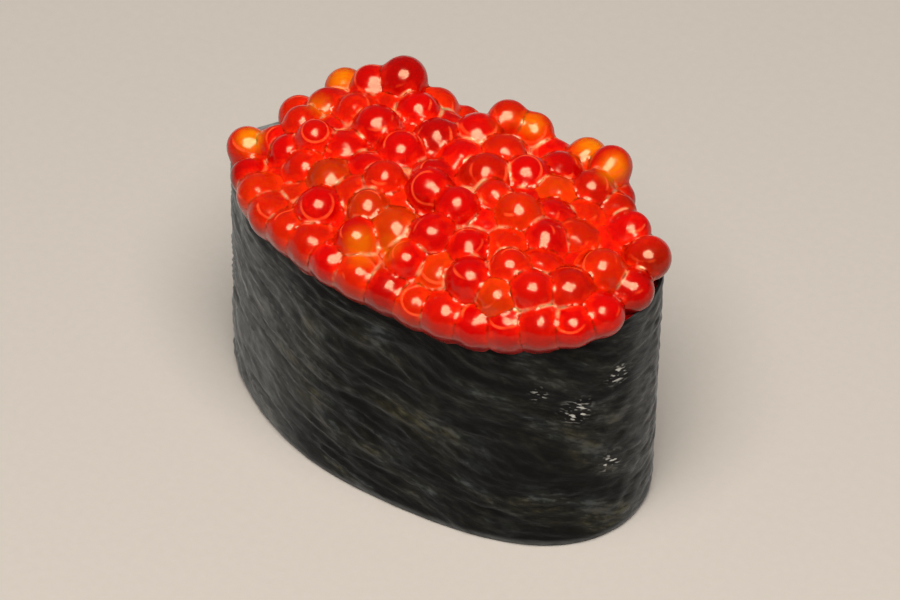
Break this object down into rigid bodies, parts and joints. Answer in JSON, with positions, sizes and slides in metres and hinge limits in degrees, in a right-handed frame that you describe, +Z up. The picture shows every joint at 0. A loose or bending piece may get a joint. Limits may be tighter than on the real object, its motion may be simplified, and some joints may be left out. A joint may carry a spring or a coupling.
{
  "type": "salmon roe gunkan sushi",
  "caption": "Boat-shaped piece of sushi: pressed rice wrapped upright in a band of nori and heaped with salmon roe that spills a little over the rim.",
  "frame": {"origin": "middle of the overall box in plan, at the level of the table", "axes": "+X along the length towards the blunt end, +Y across towards the side where the nori laps, +Z up"},
  "size_m": [0.0556, 0.0332, 0.0402],
  "materials": {
    "nori": "matt, finely creased",
    "cooked_rice": "moist",
    "salmon_roe": "wet and translucent"
  },
  "bodies": {
    "root": {"nori_wrap": "nori", "rice": "cooked_rice", "roe": "salmon_roe"}
  },
  "joints": []
}
